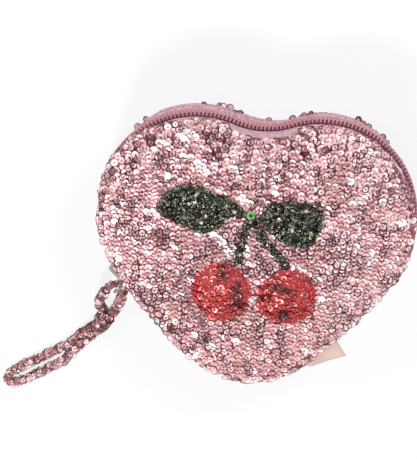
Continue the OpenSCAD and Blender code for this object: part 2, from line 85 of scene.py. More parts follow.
def flank_centre():
    """The centre of the slow arc that touches the lobe and the tip."""
    gap = TIP_C - LOBE_C
    dist = np.linalg.norm(gap)
    along = gap / dist
    to_lobe, to_tip = SIDE_R - LOBE_R, SIDE_R - TIP_R
    foot = (to_lobe ** 2 - to_tip ** 2 + dist ** 2) / (2 * dist)
    rise = math.sqrt(to_lobe ** 2 - foot ** 2)
    return LOBE_C + foot * along - rise * np.array([-along[1], along[0]])


def direction(v):
    return math.degrees(math.atan2(v[1], v[0]))


SIDE_C = flank_centre()
NOTCH_TO = direction((LOBE_X, LOBE_Y - NOTCH_Y))
LOBE_FROM, LOBE_TO = NOTCH_TO + 180, direction(LOBE_C - SIDE_C)
SIDE_TO = direction(TIP_C - SIDE_C)


def circle(a):
    return np.column_stack([np.cos(a), np.sin(a)])


def arc_points(centre, r, start, end, step=0.4):
    n = max(3, int(abs(end - start) * math.pi / 180 * r / step))
    return centre + r * circle(np.radians(np.linspace(start, end, n, endpoint=False)))


def run_lengths(p):
    """How far along a line each of its points lies."""
    return np.concatenate([[0], np.cumsum(np.linalg.norm(np.diff(p, axis=0), axis=1))])


def even(p, n, closed=False):
    """The same line with n points, evenly spaced."""
    q = np.vstack([p, p[:1]]) if closed else p
    s = run_lengths(q)
    t = np.linspace(0, s[-1], n + 1 if closed else n)[:n]
    return np.column_stack([np.interp(t, s, q[:, k]) for k in range(q.shape[1])])


def mirror_x(p):
    return p[::-1] * [-1, 1]


def notch_and_lobe(grow, end):
    return [arc_points((0, NOTCH_Y), NOTCH_R - grow, -90, NOTCH_TO),
            arc_points(LOBE_C, LOBE_R + grow, LOBE_FROM, end)]


def heart(grow, n):
    """The seam's outline, moved outwards by grow."""
    half = np.vstack([
        *notch_and_lobe(grow, LOBE_TO),
        arc_points(SIDE_C, SIDE_R + grow, LOBE_TO, SIDE_TO),
        arc_points(TIP_C, TIP_R + grow, SIDE_TO, -90),
        [[0, TIP_Y - TIP_R - grow]]])
    return even(np.vstack([half, mirror_x(half)[1:-1]]), n, True)


def zip_path(grow, n):
    right = np.vstack(notch_and_lobe(grow, -ZIP_END))
    return even(np.vstack([mirror_x(right), right[1:]]), n)


def unit(v):
    return v / np.linalg.norm(v, axis=1, keepdims=True)


def tangents(p, closed=False):
    return unit(np.roll(p, -1, 0) - np.roll(p, 1, 0) if closed else np.gradient(p, axis=0))


def across(t):
    """Two directions across a line in space with the tangents t."""
    n = unit(np.cross(t, STRAIGHT_UP))
    return n, np.cross(n, t)


def outward(line, closed=False):
    """Level directions across a line, away from the heart's middle."""
    t = tangents(line, closed)
    out = np.column_stack([t[:, 1], -t[:, 0]])
    return -out if np.sum(out * line) < 0 else out


seam = heart(0, 1600)
SEAM_ANGLE, SEAM_REACH = np.arctan2(seam[:, 1], seam[:, 0]), np.hypot(*seam.T)


def reach_at(x, y):
    """How far the seam is from the middle, in the direction of a point."""
    return np.interp(np.arctan2(y, x), SEAM_ANGLE, SEAM_REACH, period=2 * np.pi)


def swell(share):
    """The swollen face's profile: 1 in the middle, 0 at the seam."""
    return np.sqrt(np.maximum(0, 1 - np.minimum(share, 1) ** 2.6))


def ramp(v, width):
    """From 0 to 1 as v goes from 0 to width."""
    return np.clip(v / width, 0, 1)


def clouds(p, scale, seed):
    """Smooth noise about 0 at each point, with features about 1 / scale mm wide."""
    return np.array([noise.noise(Vector((q[0] * scale + seed, q[1] * scale - seed, q[2] * scale)))
                     for q in p])


def through(q, steps):
    """Catmull-Rom points from the second of the points q to the last but one."""
    out = []
    for i in range(1, len(q) - 2):
        for s in np.linspace(0, 1, steps, endpoint=False):
            a0, a1, a2, a3 = q[i - 1:i + 3]
            square, cube = 2 * a0 - 5 * a1 + 4 * a2 - a3, 3 * a1 - a0 - 3 * a2 + a3
            out.append(0.5 * (2 * a1 + (a2 - a0) * s + square * s ** 2 + cube * s ** 3))
    return out


def piece(name, mesh, mat, slot, on, *nodes, smooth=True, **attrs):
    """A piece from points in millimetres and faces, with the CAD nodes that it stands for.

    on is the body that it moves with, or "front" for a piece that stays fixed where it is built."""
    verts, faces = mesh
    me = bpy.data.meshes.new(name)
    me.from_pydata((np.asarray(verts, float) * MM).tolist(), [], [list(map(int, f)) for f in faces])
    for key, values in attrs.items():
        at = me.attributes.new(key, "FLOAT", "POINT")
        at.data.foreach_set("value", np.asarray(values, np.float32))
    me.polygons.foreach_set("use_smooth", [smooth] * len(me.polygons))
    me.materials.append(mat)
    ob = bpy.data.objects.new(name, me)
    scene.collection.objects.link(ob)
    if nodes:
        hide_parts(*nodes)
    if on == "front":
        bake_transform(ob)
    else:
        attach(ob, on)
    return ob


def grid_faces(rows, cols, closed=False):
    f = []
    for j in range(rows - 1):
        for i in range(cols if closed else cols - 1):
            k = (i + 1) % cols
            f.append((j * cols + i, j * cols + k, (j + 1) * cols + k, (j + 1) * cols + i))
    return f


def other_side(faces, n):
    """The same faces turned round, on the points that come n later."""
    return [tuple(n + q for q in face[::-1]) for face in faces]


def ring_wall(low, high, n):
    """Faces between two rings of n points that start at low and high."""
    return [(low + i, high + i, high + (i + 1) % n, low + (i + 1) % n) for i in range(n)]


def tube_mesh(path, radius, sides=8):
    """A closed tube along a path, with one radius or one for each of its points."""
    path = np.asarray(path, float)
    n, b = across(tangents(path))
    r = np.full(len(path), radius) if np.isscalar(radius) else np.asarray(radius)
    a = 2 * np.pi * np.arange(sides) / sides
    v = np.concatenate([path[i] + r[i] * (np.cos(a)[:, None] * n[i] + np.sin(a)[:, None] * b[i])
                        for i in range(len(path))])
    last = (len(path) - 1) * sides
    f = [q[::-1] for q in grid_faces(len(path), sides, True)]
    f.append(tuple(range(sides)))
    f.append(tuple(last + k for k in reversed(range(sides))))
    return v, f


def lathe(n, profile, turn=0.0):
    """Rings of n points about an upright axis, one for each radius and height of a profile,
    each turned on from the last."""
    vs = []
    for k, (r, h) in enumerate(profile):
        a = 2 * np.pi * np.arange(n) / n + turn * k
        vs.append(np.column_stack([r * circle(a), np.full(n, h)]))
    return np.vstack(vs)


def merge(parts):
    vs, fs, base = [], [], 0
    for v, f in parts:
        vs.append(np.asarray(v))
        fs += [tuple(i + base for i in q) for q in f]
        base += len(v)
    return np.vstack(vs), fs


# Materials
BLACK, WHITE = (0, 0, 0), (1, 1, 1)


def srgb(*c):
    """A colour for the shader from its picture values, 0 to 255."""
    return tuple((x / 255 / 12.92) if x / 255 < 0.04045 else ((x / 255 + 0.055) / 1.055) ** 2.4
                 for x in c)


class Nodes:
    """Short forms for the nodes of a material or the world."""

    def __init__(self, owner):
        owner.use_nodes = True
        self.owner = owner
        self.tree = owner.node_tree

    def add(self, kind, **values):
        node = self.tree.nodes.new(kind)
        for k, v in values.items():
            if hasattr(node, k):
                setattr(node, k, v)
            else:
                node.inputs[k.replace("_", " ")].default_value = v
        return node

    def link(self, a, b):
        self.tree.links.new(a, b)

    def feed(self, socket, value):
        if hasattr(value, "is_linked"):
            self.link(value, socket)
        else:
            socket.default_value = value if np.isscalar(value) else (*value, 1)

    def coords(self):
        return self.add("ShaderNodeTexCoord").outputs["Object"]

    def noise(self, scale, detail=2.0, vec=None):
        node = self.add("ShaderNodeTexNoise", Scale=scale, Detail=detail)
        self.link(vec or self.coords(), node.inputs["Vector"])
        return node.outputs["Fac"]

    def attr(self, name):
        return self.add("ShaderNodeAttribute", attribute_name=name).outputs["Fac"]

    def ramp(self, fac, stops):
        node = self.add("ShaderNodeValToRGB")
        e = node.color_ramp.elements
        while len(e) < len(stops):
            e.new(0.5)
        for el, (pos, col) in zip(e, stops):
            el.position = pos
            el.color = (*col, 1)
        self.link(fac, node.inputs["Fac"])
        return node.outputs["Color"]

    def math(self, op, a, b, clamp=False):
        node = self.add("ShaderNodeMath", operation=op, use_clamp=clamp)
        self.feed(node.inputs[0], a)
        self.feed(node.inputs[1], b)
        return node.outputs[0]

    def mix(self, fac, a, b):
        node = self.add("ShaderNodeMix", data_type="RGBA")
        for value, socket in ((fac, 0), (a, 6), (b, 7)):
            self.feed(node.inputs[socket], value)
        return node.outputs[2]

    def bump(self, height, strength, distance, below=None):
        node = self.add("ShaderNodeBump", Strength=strength, Distance=distance)
        self.link(height, node.inputs["Height"])
        if below:
            self.link(below, node.inputs["Normal"])
        return node.outputs["Normal"]

    def surface(self, color, rough, normal=None, **fixed):
        """Fills the main shader in and gives the material back."""
        shader = self.tree.nodes["Principled BSDF"]
        self.feed(shader.inputs["Base Color"], color)
        self.feed(shader.inputs["Roughness"], rough)
        if normal:
            self.link(normal, shader.inputs["Normal"])
        for k, v in fixed.items():
            shader.inputs[k.replace("_", " ")].default_value = v
        return self.owner


def sequin_material(name, tones, rim_color, metallic, rough, glow, painted_highlight_strength, glints, grain):
    """Foil whose tone, painted shade at the rim and painted highlight come from each sequin,
    with small painted glints in the highlight. glints are the edges of the noise that makes
    them, and grain is its scale."""
    m = Nodes(bpy.data.materials.new(name))
    body = m.ramp(m.attr("tone"), [(at, srgb(*c)) for at, c in tones])
    spots = m.ramp(m.noise(grain, 1), [(glints[0], BLACK), (glints[1], WHITE)])
    # The painted highlight: a pale ring mixed into the colour, brighter in spots of noise
    lit = m.math("MULTIPLY", m.math("MULTIPLY", m.attr("glow"), painted_highlight_strength), spots)
    body = m.mix(lit, body, glow)
    # The rim and the hole's edge take the rim colour, which is painted shade on pink and red sequins
    rim = m.math("MULTIPLY", m.attr("rim"), m.attr("dark"), True)
    uneven = m.math("ADD", m.math("MULTIPLY", m.noise(400, 1), 0.16), rough)
    dents = m.bump(m.noise(1500, 2), 0.12, 0.0001)
    return m.surface(m.mix(rim, body, srgb(*rim_color)), uneven, dents, Metallic=metallic)


# Pink: the low tones are the painted shade of turned sequins, the white top the painted highlight of
# flashes; then the colour of the rim's painted shade, and the painted highlight's colour and
# strength
pink_sequins = sequin_material(
    "pink sequins",
    [(0.0, (98, 50, 58)), (0.2, (166, 114, 122)), (0.42, (228, 176, 181)),
     (0.66, (255, 208, 210)), (0.88, (255, 220, 223)), (0.95, (255, 252, 253))],
    (76, 26, 36), 0.4, 0.3, (1, 0.9, 0.92), 0.9, (0.5, 0.62), 620)
# Red: the low tones are the painted shade of folded sequins; then the colour of the rim's painted
# shade, and the painted highlight's colour and strength
red_sequins = sequin_material(
    "red sequins",
    [(0.0, (84, 12, 24)), (0.3, (150, 26, 36)), (0.6, (190, 40, 44)), (1.0, (202, 53, 54))],
    (72, 12, 20), 0.25, 0.22, (1, 0.62, 0.58), 0.8, (0.6, 0.64), 1300)
# Green: the near-white top is painted glints; then the rim colour, and the painted glints' colour
# and strength
green_sequins = sequin_material(
    "green sequins",
    [(0.0, (8, 8, 7)), (0.45, (22, 26, 18)), (0.75, (62, 76, 48)), (0.9, (116, 144, 96)),
     (0.97, (250, 222, 216))],
    (40, 46, 28), 0.3, 0.2, srgb(252, 240, 222), 1.0, (0.55, 0.58), 1150)

RIB_STEP = 0.0022


def cloth(name, low, high, ribs=False, rough=0.85, sheen=0.3, weave=1800):
    """Cloth between two tones; where it is zip tape, with ribs whose grooves are darkened with
    painted shade, and darker marks of chain stitch painted in a shade colour.
    """
    m = Nodes(bpy.data.materials.new(name))
    low, high = srgb(*low), srgb(*high)
    co = m.coords()
    col = m.mix(m.noise(160, 3, co), low, high)
    col = m.mix(m.math("MULTIPLY", m.noise(2200, 2, co), 0.35), col, [0.55 * c for c in low])
    normal = m.bump(m.noise(weave, 1, co), 0.5, 0.00012)
    if ribs:
        sep = m.add("ShaderNodeSeparateXYZ")
        m.link(co, sep.inputs[0])
        wave = m.math("SINE", m.math("MULTIPLY", sep.outputs["Z"], 2 * math.pi / RIB_STEP), 0)
        wave = m.math("ADD", m.math("MULTIPLY", wave, 0.5), 0.5)
        normal = m.bump(wave, 0.9, 0.00025, normal)
        # Painted shade in the grooves between the ribs
        painted_groove_shade = m.math("POWER", m.math("SUBTRACT", 1.0, wave), 3.0)
        col = m.mix(m.math("MULTIPLY", painted_groove_shade, 0.8), col, [0.42 * c for c in low])
        # Dark marks where the chain stitch lies, painted as its shade
        chain = m.ramp(m.noise(800, 0, co), [(0.48, BLACK), (0.56, WHITE)])
        shade = [k * c for k, c in zip((0.5, 0.34, 0.4), low)]
        col = m.mix(m.math("MULTIPLY", chain, 0.6), col, shade)
    return m.surface(col, rough, normal, Sheen_Weight=sheen, Sheen_Roughness=0.4)


base_cloth = cloth("base cloth", (150, 92, 104), (180, 118, 128))
lining_cloth = cloth("lining cloth", (186, 120, 132), (206, 142, 152), rough=0.6)
tape_cloth = cloth("zip tape", (255, 200, 212), (255, 222, 230), ribs=True, sheen=0.1,
                   weave=2600)
cord_cloth = cloth("cord thread", (150, 100, 98), (186, 130, 130), weave=2400)
label_cloth = cloth("label ribbon", (211, 179, 168), (227, 196, 185), rough=0.5,
                    sheen=0.1, weave=3200)
red_cloth = cloth("red cloth", (120, 24, 30), (156, 34, 40))
green_cloth = cloth("green cloth", (16, 28, 20), (30, 48, 32))


def plain(name, low, high, rough, **fixed):
    """Metal, nylon, thread or glass with faint clouds and dents."""
    m = Nodes(bpy.data.materials.new(name))
    uneven = m.math("ADD", m.math("MULTIPLY", m.noise(700, 2), 0.15), rough)
    dents = m.bump(m.noise(1200, 2), 0.08, 0.0001)
    tone = m.mix(m.noise(300, 3), srgb(*low), srgb(*high))
    return m.surface(tone, uneven, dents, **fixed)


nickel = plain("nickel", (132, 125, 113), (164, 157, 145), 0.16, Metallic=1.0)
coil_nylon = plain("coil nylon", (190, 128, 144), (210, 150, 164), 0.4)
filler_cord = plain("filler cord", (112, 60, 76), (134, 78, 94), 0.7)
thread = plain("sewing thread", (196, 138, 154), (222, 168, 180), 0.6)
glass_bead = plain("green bead", (92, 158, 88), (150, 206, 128), 0.12)
knot_bead = plain("dark bead", (58, 74, 70), (120, 134, 128), 0.2, Metallic=0.3)

# Sequins
SIDES = 10
SEQUIN_R = 1.5


def cup():
    """One sequin, a cup with a hole, from the hole to the rim."""
    profile = [(0.17, 0.0), (0.3, 0.02), (0.62, 0.22), (0.76, 0.4), (0.9, 0.7), (1.0, 1.0)]
    return lathe(SIDES, profile), np.array(grid_faces(len(profile), SIDES, True))


# From the hole to the rim: how far a laid and a turned sequin take their rim colour, which is
# painted shade on the pink and red ones, and how much painted highlight each ring takes
THIN_RIM = np.repeat([0.7, 0.0, 0.0, 0.0, 0.4, 1.0], SIDES)
WIDE_RIM = np.repeat([0.6, 0.0, 0.0, 0.8, 1.0, 1.0], SIDES)
RING_PAINTED_HIGHLIGHT = np.repeat([0.0, 0.1, 1.0, 0.3, 0.0, 0.0], SIDES)


def orient(normals, tilt_x, tilt_y, spin, lead):
    """Axes for each sequin: the cloth's normal tilted two ways, then turned about itself."""
    n = unit(normals)
    x = np.cross(lead, n)
    x[np.linalg.norm(x, axis=1) < 1e-3] = [1, 0, 0]
    x = unit(x)
    y = np.cross(n, x)
    axis = unit(n + x * np.tan(tilt_x)[:, None] + y * np.tan(tilt_y)[:, None])
    side = np.cos(spin)[:, None] * x + np.sin(spin)[:, None] * y
    side -= axis * np.sum(side * axis, axis=1, keepdims=True)
    side = unit(side)
    return np.stack([side, np.cross(axis, side), axis], axis=2)


def sow(name, on, pts, normals, radius, depth, tilt, tone, dark, lift, lean=0.0,
        lead=(0.0, 1.0, 0.0), wide=True, painted_highlight_share=1.0, mat=pink_sequins, slot="pink_sequins"):
    """A piece with one sequin at each point, each a little different.

    depth is how deep the cups are, tilt how untidily they lie, lift how far they stand off
    the cloth, lean how far they all lean along lead, wide which ones have a wide rim (a painted
    shade on the pink and red sequins), and lustre their share of painted highlight."""
    base, faces = cup()
    n, k = len(pts), len(base)
    rim = np.where(np.broadcast_to(wide, n)[:, None], WIDE_RIM, THIN_RIM)
    glow = np.broadcast_to(painted_highlight_share, n)[:, None] * RING_PAINTED_HIGHLIGHT
    sizes = radius * rng.uniform(0.93, 1.05, n)
    tilt_x, tilt_y = rng.normal(0, tilt, n), rng.normal(0, tilt, n) + lean
    frames = orient(normals, tilt_x, tilt_y, rng.uniform(0, 6.28, n), lead)
    centres = pts + unit(normals) * rng.uniform(*lift, n)[:, None]
    scales = np.stack([sizes, sizes, depth * rng.uniform(0.7, 1.3, n)], axis=1)
    v = np.einsum("nij,nkj->nki", frames, base[None] * scales[:, None]) + centres[:, None]
    v[:, :, 2] = np.maximum(v[:, :, 2], 0.04)
    f = (faces[None] + (np.arange(n) * k)[:, None, None]).reshape(-1, 4)
    return piece(name, (v.reshape(-1, 3), f), mat, slot, on, smooth=False, rim=rim.ravel(),
                 tone=np.repeat(tone, k), dark=np.repeat(dark, k), glow=glow.ravel())


NEIGHBOURS = list(itertools.product((-1, 0, 1), repeat=3))


def scatter(candidates, least):
    """The candidates that lie at least so far from all that were kept before them."""
    kept, cells = [], {}
    for q in candidates:
        i, j, k = np.floor(q[:3] / least).astype(int).tolist()
        near = (o for a, b, c in NEIGHBOURS for o in cells.get((i + a, j + b, k + c), ()))
        if all(np.sum((o - q[:3]) ** 2) >= least * least for o in near):
            cells.setdefault((i, j, k), []).append(q[:3])
            kept.append(q)
    return np.array(kept)


# The filled purse's seams
def flare(x, y):
    """How far the back seam of the filled purse stands out over the two lobes."""
    left = 1.6 * ramp(10 - x, 15) * ramp(x + 50, 12)
    right = 1.0 * ramp(x - 14, 12) * ramp(52 - x, 8)
    return (left + right) * ramp(y - 26, 10)


def lean_out(x, y):
    """How far the front seam stands off the plain heart: out beside the tip and over the
    left end of the zip, in at the sides."""
    tip = np.where(x < 0, 1.2, 0.6) * ramp(np.abs(x) - 12, 10) * ramp(-y - 8, 8) * ramp(46 + y, 6)
    zip_end = 1.3 * ramp(-x - 40, 8) * ramp(y - 18, 14)
    sides = np.where(x < 0, 0.2, 1.2) * ramp(np.abs(x) - 42, 8) * ramp(y + 2, 8)
    return tip + zip_end - sides


def front_bulge(x, y):
    return np.maximum(lean_out(x, y), 0)


def spread(x, y, share, far):
    """Points of a face moved out with its seam, the more the nearer they lie to it."""
    k = 1 + far(x, y) * np.asarray(share) ** 10 / np.maximum(reach_at(x, y), 1)
    return x * k, y * k


# The two padded faces
RINGS = [1, 0.998, 0.99, 0.975, 0.95, 0.92, 0.88, 0.83, 0.77, 0.7, 0.62, 0.53, 0.43, 0.32, 0.2,
         0.08]
COLS = 200
INNER_SHARE = 0.965


def face_height(front, share):
    z = CROWN * swell(share)
    return FRONT_RIM + z if front else BACK_RIM - np.minimum(z, CROWN - PRESS)


def face_z(front, x, y):
    return face_height(front, np.hypot(x, y) / reach_at(x, y))


def lumps(p, share):
    """The soft unevenness of the filled front, none at the seam."""
    fade = np.minimum(1, np.maximum(0, 1 - share) * 8)
    return 0.5 * fade * (clouds(p, 0.11, 3.1) + 0.5 * clouds(p, 0.3, 8.2))


def face_normals(front, x, y, step=0.25):
    gx = (face_z(front, x + step, y) - face_z(front, x - step, y)) / (2 * step)
    gy = (face_z(front, x, y + step) - face_z(front, x, y - step)) / (2 * step)
    n = unit(np.column_stack([-gx, -gy, np.ones(len(x))]))
    return n if front else -n


def build_face(name, on, *nodes):
    """A face as rings of points from the seam inwards, with both its sides."""
    front = on == "front"
    rim = heart(0, COLS)
    p = []
    for share in RINGS:
        q = rim * share
        q = spread(q[:, 0], q[:, 1], share, front_bulge if front else flare)
        p.append(np.column_stack([*q, np.full(COLS, face_height(front, share))]))
    p = np.vstack(p)
    if front:
        p[:, 2] += lumps(p, np.repeat(RINGS, COLS))
    n = len(p)
    inward = -FACE_THICK if front else FACE_THICK
    inner = p * [INNER_SHARE, INNER_SHARE, 1]
    inner[COLS:, 2] += inward
    mid = p[-COLS:].mean(axis=0)
    v = np.vstack([p, inner, mid, mid + [0, 0, inward]])
    last = [(n - COLS + i, n - COLS + (i + 1) % COLS) for i in range(COLS)]
    shell = grid_faces(len(RINGS), COLS, True)
    f = shell + [(a, b, 2 * n) for a, b in last]
    f += other_side(shell, n) + [(n + b, n + a, 2 * n + 1) for a, b in last]
    f += ring_wall(0, n, COLS)
    if not front:
        f = [q[::-1] for q in f]
    return piece(name, (v, f), base_cloth, "pink_sequins", on, *nodes)


# The motif's outlines on the front
CHERRY_R, CHERRY_X, CHERRY_DX, CHERRY_Y = 11.4, 0.235, 12.4, -0.274 * HALF_H


def rounded(p, n):
    """A smooth closed outline through a few points."""
    p = np.asarray(p, float)
    return even(np.array(through(np.vstack([p[-1], p, p[0], p[1]]), 8)), n, True)


LEAF_L = rounded([
    (-6.6, 19.5), (-10.1, 21.7), (-13.6, 23.5), (-18.3, 25.3), (-23.7, 26.4), (-28.4, 26.8),
    (-32.9, 24.4), (-36.1, 21.1), (-37.5, 18.2), (-35.6, 16.2), (-27.7, 12.6), (-20.2, 9.9),
    (-16.9, 11.0), (-13.0, 13.1), (-9.8, 16.6), (-7.2, 17.1), (-4.1, 17.2)], 70)
LEAF_R = rounded([
    (3.8, 12.8), (6.7, 10.2), (9.5, 8.2), (13.7, 7.1), (17.7, 6.9), (20.9, 8.7), (22.7, 12.3),
    (23.7, 15.8), (23.9, 19.3), (21.4, 21.3), (17.3, 22.4), (12.6, 23.1), (7.9, 22.5),
    (4.6, 21.6), (2.8, 18.7), (0.8, 16.6)], 60)


def inside(poly, x, y):
    res = np.zeros(len(x), bool)
    for (xi, yi), (xj, yj) in zip(poly, np.roll(poly, 1, 0)):
        res ^= ((yi > y) != (yj > y)) & (x < (xj - xi) * (y - yi) / (yj - yi + 1e-12) + xi)
    return res


def in_motif(x, y):
    """Which points lie under a cherry or a leaf, away from its edge."""
    hit = np.zeros(len(x), bool)
    for s in (-1, 1):
        hit |= np.hypot(x - (CHERRY_X + s * CHERRY_DX), y - CHERRY_Y) < CHERRY_R - 0.5
    for leaf in (LEAF_L, LEAF_R):
        c = leaf.mean(axis=0)
        hit |= inside(c + (leaf - c) * 0.9375, x, y)
    return hit


# The sequins of the faces: laid ones, turned ones, and ones that flash at the lamp, with a painted
# white highlight
STRAND_GAP, STRAND_STEP = 2.16, 1.74
LEAST_GAP = 1.35
FACE_EDGE = 0.985  # how far out they reach, where the seam is 1
LAID_LEAN, TURNED_LEAN, BACK_LEAN = (math.radians(a) for a in (-20, 14, 8))
LAID_DEPTH, TURNED_DEPTH, FLASH_DEPTH, BACK_DEPTH = 0.2, 0.5, 0.12, 0.25
# How much painted highlight laid sequins take, and how far flashing ones stand proud
LAID_PAINTED_HIGHLIGHT, FLASH_RISE = 0.4, 0.2
TO_LIGHT = np.array([-0.15, -0.19, 0.97])


def strands(seed):
    """Sewn strands of overlapping sequins: their places and the number of their strand."""
    rows = np.arange(-44, 45)
    strand, step = np.meshgrid(rows, np.arange(-52, 53), indexing="ij")
    x = strand * STRAND_GAP + rng.normal(0, 0.3, strand.shape)
    y = (step + rng.random(len(rows))[:, None]) * STRAND_STEP + rng.normal(0, 0.2, strand.shape)
    x, y, strand = x.ravel(), y.ravel(), strand.ravel()
    q = np.column_stack([x, y, np.full(len(x), seed)])
    x = x + 6.0 * clouds(q, 0.045, 1 + seed) + 2.2 * clouds(q, 0.12, 4 + seed)
    y = y + 1.5 * clouds(q, 0.06, 9 + seed)
    return x, y, strand


def fill_gaps(x, y, strand):
    """More sequins where the strands leave the cloth bare."""
    tree = KDTree(len(x))
    for i, q in enumerate(zip(x, y)):
        tree.insert((*q, 0), i)
    tree.balance()
    more = []
    for q in rng.uniform((-60, -52), (60, 54), (9000, 2)):
        far = all((q[0] - a) ** 2 + (q[1] - b) ** 2 > LEAST_GAP ** 2 for a, b in more)
        if far and tree.find((*q, 0))[2] > LEAST_GAP:
            more.append(tuple(q))
    more = np.array(more)
    own = np.rint(more[:, 0] / 2).astype(int)
    return np.append(x, more[:, 0]), np.append(y, more[:, 1]), np.append(strand, own)


def sequin_state(x, y, strand, seed):
    """Which sequins are turned over, which flash with a painted white highlight, how pale each
    is, with painted shade on the turned ones, and how much painted shade its edge takes.
    """
    n = len(x)
    p = np.column_stack([x, y, np.full(n, seed)])
    # Whole runs of a strand are turned over, more raggedly where the cloth is busy
    run = clouds(np.column_stack([x * 0.02 + strand * 3.7, y * 0.085, p[:, 2]]), 1.0, 2 + seed)
    busy = np.clip(0.35 + y / 60 + 0.5 * clouds(p, 0.05, 31 + seed), 0, 1)
    flip = run + 0.12 * clouds(p, 0.07, 5 + seed) + rng.normal(0, 0.04 + 0.22 * busy, n) > 0.2
    tone = (0.63 - 0.09 * ramp(y - 5, 15) + 0.1 * ramp(x - 15, 20) - 0.03 * ramp(-x - 15, 15)
            + 0.2 * clouds(p, 0.22, 12 + seed) + rng.normal(0, 0.05 + 0.08 * busy, n))
    # Turned sequins are darker: painted shade
    tone = np.where(flip, tone - rng.uniform(0.08, 0.42, n), tone)
    # Patches of sequins are painted white as a highlight; cover_face turns those on the front that
    # nearly face the lamp square to it
    bright = np.clip(clouds(p, 0.1, 50 + seed) - 0.16, 0, 1) * (0.25 + 1.05 * busy)
    painted_flash = rng.random(n) < 0.012 + 0.95 * bright
    tone = np.where(painted_flash, rng.uniform(0.92, 1.0, n), tone)
    # How much painted shade each edge takes: most on turned sequins, little on the white ones
    dark = np.where(flip, rng.uniform(0.85, 1.0, n), rng.uniform(0.45, 0.9, n))
    dark = np.where(painted_flash, 0.3, dark)
    return flip & ~painted_flash, painted_flash, np.clip(tone, 0.02, 0.99), dark


def cover_face(side, on):
    """The sequins of one face. The front's leave room for the motif, and some face the lamp."""
    front = on == "front"
    seed = 0.0 if front else 60.0
    x, y, strand = strands(seed)
    if front:
        x, y, strand = fill_gaps(x, y, strand)
    share = np.hypot(x, y) / reach_at(x, y)
    keep = share < FACE_EDGE
    if front:
        keep &= ~in_motif(x, y)
    x, y, strand, share = x[keep], y[keep], strand[keep], share[keep]
    n = len(x)
    z = face_z(front, x, y)
    nrm = face_normals(front, x, y)
    if front:
        z = z + lumps(np.column_stack([x, y, z]), share)
    flip, painted_flash, tone, dark = sequin_state(x, y, strand, seed)
    x, y = spread(x, y, share, lean_out if front else flare)
    if front:
        lean = np.where(flip, TURNED_LEAN, LAID_LEAN * (1.1 - 0.6 * share ** 3))
        lean = lean + rng.normal(0, 0.03 + 0.1 * (y > 12), n)
        # Of the sequins painted white as flashes, those that nearly face the lamp turn square to it
        # and stand a little proud
        painted_flash &= nrm @ TO_LIGHT > 0.9 * np.linalg.norm(nrm, axis=1)
        lean = np.where(painted_flash, 0, lean)
        nrm = np.where(painted_flash[:, None], TO_LIGHT + rng.normal(0, 0.05, (n, 3)), nrm)
        z = z + FLASH_RISE * painted_flash
        depth = np.where(flip, TURNED_DEPTH, np.where(painted_flash, FLASH_DEPTH, LAID_DEPTH))
        # Laid sequins take less painted highlight than turned and flashing ones
        painted_highlight_share = np.where(flip | painted_flash, 1.0, LAID_PAINTED_HIGHLIGHT)
    else:
        lean = np.full(n, BACK_LEAN)
        z = np.maximum(z, 0.5)
        depth, painted_highlight_share = np.full(n, BACK_DEPTH), np.ones(n)
    pts = np.column_stack([x, y, z])
    lift = (0.3, 0.5) if front else (0.05, 0.2)
    for part, k in (("lower", y < 0), ("upper", y >= 0)):
        sow(f"{side}_sequins_{part}", on, pts[k], nrm[k], SEQUIN_R, depth[k], math.radians(5),
            tone[k], dark[k], lift, lean[k], wide=flip[k], painted_highlight_share=painted_highlight_share[k])


front_cloth = build_face("front_cloth", "front", "front_panel_lower", "front_panel_upper")
back_cloth = build_face("back_cloth", "purse", "back_panel")
cover_face("front", "front")
cover_face("back", "purse")


# Sequins that stand out along the seams
NOTCH_HALF, NOTCH_FROM = 13, 30
ZIP_LOW_Y = -14


def seam_sequins(name, on, grow, height, count, gone):
    """A row of sequins round a seam, of which a share is gone. The front has none in its
    notch, and the back has them all round the tip."""
    front = on == "front"
    rim = heart(grow, count)
    out = outward(rim, True)
    x, y = rim[:, 0], rim[:, 1]
    drawn = rng.random(count) < gone
    in_notch, over_zip = (np.abs(x) < NOTCH_HALF) & (y > NOTCH_FROM), y > ZIP_LOW_Y
    keep = ~(in_notch | drawn if front else over_zip & drawn)
    rim = (rim + out * (lean_out if front else flare)(x, y)[:, None])[keep]
    out = out[keep]
    n = len(rim)
    reach_out = rng.uniform(-0.5, 0.4, n) if front else rng.uniform(-0.45, 0.6, n)
    pts = np.column_stack([rim + out * reach_out[:, None], height + rng.normal(0, 0.3, n)])
    sideways = rng.uniform(0.1, 0.9, n)[:, None] * (1 if front else -0.3)
    nrm = np.column_stack([out * sideways, np.ones(n)])
    nrm[:, :2] += rng.normal(0, 0.25, (n, 2))
    tone = np.clip(rng.normal(0.6, 0.22, n), 0, 1)
    sow(name, on, pts, nrm, 1.45, 0.4, 0.2, tone, rng.uniform(0.7, 1, n), (0, 0.3),
        wide=rng.random(n) < (0.4 if front else 0.8))


seam_sequins("front_seam_sequins", "front", 0.1, FRONT_RIM + 0.5, 240, 0.1)
seam_sequins("front_edge_sequins", "front", 0.5, FRONT_RIM - 1.2, 220, 0.35)
seam_sequins("back_seam_sequins", "purse", 0.0, BACK_RIM - 0.3, 150, 0.68)


